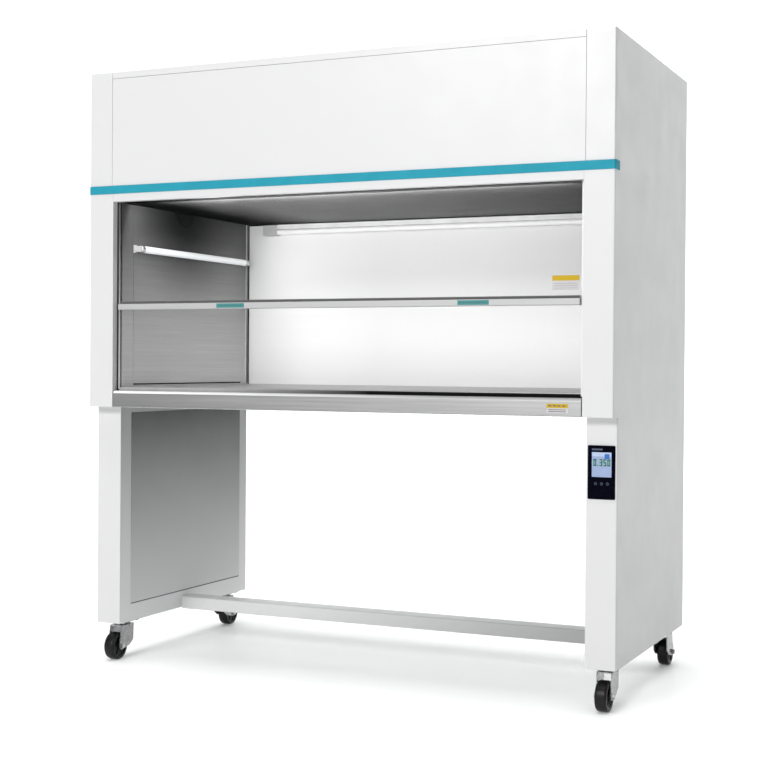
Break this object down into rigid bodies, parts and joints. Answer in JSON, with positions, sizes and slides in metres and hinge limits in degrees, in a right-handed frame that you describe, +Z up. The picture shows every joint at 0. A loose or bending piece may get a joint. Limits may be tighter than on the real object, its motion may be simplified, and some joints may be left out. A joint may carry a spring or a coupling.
{
  "type": "laminar flow clean bench",
  "caption": "Free-standing vertical laminar-flow work cabinet with a lifting glass sash, stainless work chamber, UV and LED tubes, pedestal legs and swivel casters.",
  "frame": {"origin": "on the floor, under the middle of the cabinet's footprint", "axes": "+X to the operator's right, +Y away from the operator towards the rear cover, +Z up"},
  "size_m": [1.484, 0.7426, 1.62],
  "materials": {
    "white_paint": "fine textured powder coat",
    "teal_plastic": "satin",
    "chamber_steel": "brushed",
    "back_steel": "brushed",
    "ceiling_steel": "perforated, brushed",
    "galvanised": "galvanised",
    "black_rubber": "matt",
    "filter_cloth": "non-woven",
    "motor_iron": "black enamel",
    "fan_aluminium": "mill",
    "filter_paper": "glass-fibre paper",
    "clear_glass": "polished",
    "grip_aluminium": "satin anodised",
    "guide_black": "smooth",
    "cable_steel": "stranded wire",
    "weight_steel": "plain bar, oiled",
    "pulley_nylon": "turned nylon",
    "lamp_glass": "quartz tube with metal caps",
    "holder_white": "moulded",
    "led_glow": "opal diffuser, lit",
    "led_body": "moulded",
    "panel_black": "gloss",
    "screen_glass": "backlit display",
    "box_steel": "grey enamel",
    "inlet_black": "moulded",
    "zinc": "bright zinc",
    "bolt_steel": "zinc plated",
    "wheel_black": "moulded polyurethane"
  },
  "bodies": {
    "cabinet": {"side_panel_left": "white_paint", "side_panel_right": "white_paint", "front_fascia": "white_paint", "fascia_rail": "white_paint", "top_cover": "white_paint", "rear_cover": "white_paint", "leg_housing_left": "white_paint", "leg_housing_right": "white_paint", "leg_panels": "white_paint", "cross_bar": "white_paint", "accent_strip": "teal_plastic", "chamber_wall_left": "chamber_steel", "chamber_wall_right": "chamber_steel", "worktop": "chamber_steel", "worktop_apron": "chamber_steel", "chamber_back_wall": "back_steel", "diffuser_plate": "ceiling_steel", "base_pan": "galvanised", "fan_plenum": "galvanised", "worktop_seal": "black_rubber", "prefilter": "filter_cloth", "fan_motor": "motor_iron", "hepa_frame": "fan_aluminium", "hepa_media": "filter_paper", "sash_guides": "guide_black", "cable_wraps": "cable_steel", "pulley_brackets": "weight_steel", "uv_lamp_tube": "lamp_glass", "uv_lamp_holders": "holder_white", "led_lamp_tube": "led_glow", "led_lamp_housing": "led_body", "control_bezel": "panel_black", "control_screen": "screen_glass", "electronics_box": "box_steel", "mains_inlet": "inlet_black", "caster_plates": "zinc", "panel_screws": "bolt_steel"},
    "sash": {"sash_glass": "clear_glass", "sash_handle": "grip_aluminium", "sash_carriers": "grip_aluminium", "sash_cables": "cable_steel"},
    "weight_left": {"counterweight_left": "weight_steel", "weight_cable_left": "cable_steel"},
    "weight_right": {"counterweight_right": "weight_steel", "weight_cable_right": "cable_steel"},
    "pulley_left": {"pulley_left": "pulley_nylon"},
    "pulley_right": {"pulley_right": "pulley_nylon"},
    "fan_wheel": {"impeller": "fan_aluminium"},
    "fork_front_left": {"caster_fork_front_left": "zinc", "caster_axle_front_left": "bolt_steel"},
    "wheel_front_left": {"caster_wheel_front_left": "wheel_black"},
    "fork_front_right": {"caster_fork_front_right": "zinc", "caster_axle_front_right": "bolt_steel"},
    "wheel_front_right": {"caster_wheel_front_right": "wheel_black"},
    "fork_rear_left": {"caster_fork_rear_left": "zinc", "caster_axle_rear_left": "bolt_steel"},
    "wheel_rear_left": {"caster_wheel_rear_left": "wheel_black"},
    "fork_rear_right": {"caster_fork_rear_right": "zinc", "caster_axle_rear_right": "bolt_steel"},
    "wheel_rear_right": {"caster_wheel_rear_right": "wheel_black"}
  },
  "joints": [
    {"name": "sash_slide", "type": "slide", "parent": "cabinet", "child": "sash", "axis": [0, 0, 1], "range_m": [-0.211, 0.1], "deforming": ["sash_cables"]},
    {"name": "weight_slide_left", "type": "slide", "parent": "cabinet", "child": "weight_left", "axis": [0, 0, 1], "range_m": [-0.101, 0.212], "deforming": ["weight_cable_left"]},
    {"name": "weight_slide_right", "type": "slide", "parent": "cabinet", "child": "weight_right", "axis": [0, 0, 1], "range_m": [-0.101, 0.212], "deforming": ["weight_cable_right"]},
    {"name": "pulley_turn_left", "type": "hinge", "parent": "cabinet", "child": "pulley_left", "pos_m": [-0.697, -0.295, 1.58], "axis": [1, 0, 0], "range_deg": [-195, 405]},
    {"name": "pulley_turn_right", "type": "hinge", "parent": "cabinet", "child": "pulley_right", "pos_m": [0.697, -0.295, 1.58], "axis": [1, 0, 0], "range_deg": [-195, 405]},
    {"name": "fan_spin", "type": "hinge", "parent": "cabinet", "child": "fan_wheel", "pos_m": [0, 0.015, 1.5], "axis": [0, 0, 1], "continuous": true},
    {"name": "swivel_front_left", "type": "hinge", "parent": "cabinet", "child": "fork_front_left", "pos_m": [-0.702, -0.26, 0.09], "axis": [0, 0, 1], "continuous": true},
    {"name": "roll_front_left", "type": "hinge", "parent": "fork_front_left", "child": "wheel_front_left", "pos_m": [-0.702, -0.291, 0.0375], "axis": [1, 0, 0], "continuous": true},
    {"name": "swivel_front_right", "type": "hinge", "parent": "cabinet", "child": "fork_front_right", "pos_m": [0.702, -0.26, 0.09], "axis": [0, 0, 1], "continuous": true},
    {"name": "roll_front_right", "type": "hinge", "parent": "fork_front_right", "child": "wheel_front_right", "pos_m": [0.702, -0.291, 0.0375], "axis": [1, 0, 0], "continuous": true},
    {"name": "swivel_rear_left", "type": "hinge", "parent": "cabinet", "child": "fork_rear_left", "pos_m": [-0.702, 0.294, 0.09], "axis": [0, 0, 1], "continuous": true},
    {"name": "roll_rear_left", "type": "hinge", "parent": "fork_rear_left", "child": "wheel_rear_left", "pos_m": [-0.702, 0.325, 0.0375], "axis": [1, 0, 0], "continuous": true},
    {"name": "swivel_rear_right", "type": "hinge", "parent": "cabinet", "child": "fork_rear_right", "pos_m": [0.702, 0.294, 0.09], "axis": [0, 0, 1], "continuous": true},
    {"name": "roll_rear_right", "type": "hinge", "parent": "fork_rear_right", "child": "wheel_rear_right", "pos_m": [0.702, 0.325, 0.0375], "axis": [1, 0, 0], "continuous": true}
  ],
  "couplings": [
    {"joint": "weight_slide_left", "follows": "sash_slide", "ratio": -1},
    {"joint": "pulley_turn_left", "follows": "sash_slide", "rad_per_m": -33.333},
    {"joint": "weight_slide_right", "follows": "sash_slide", "ratio": -1},
    {"joint": "pulley_turn_right", "follows": "sash_slide", "rad_per_m": -33.333}
  ]
}
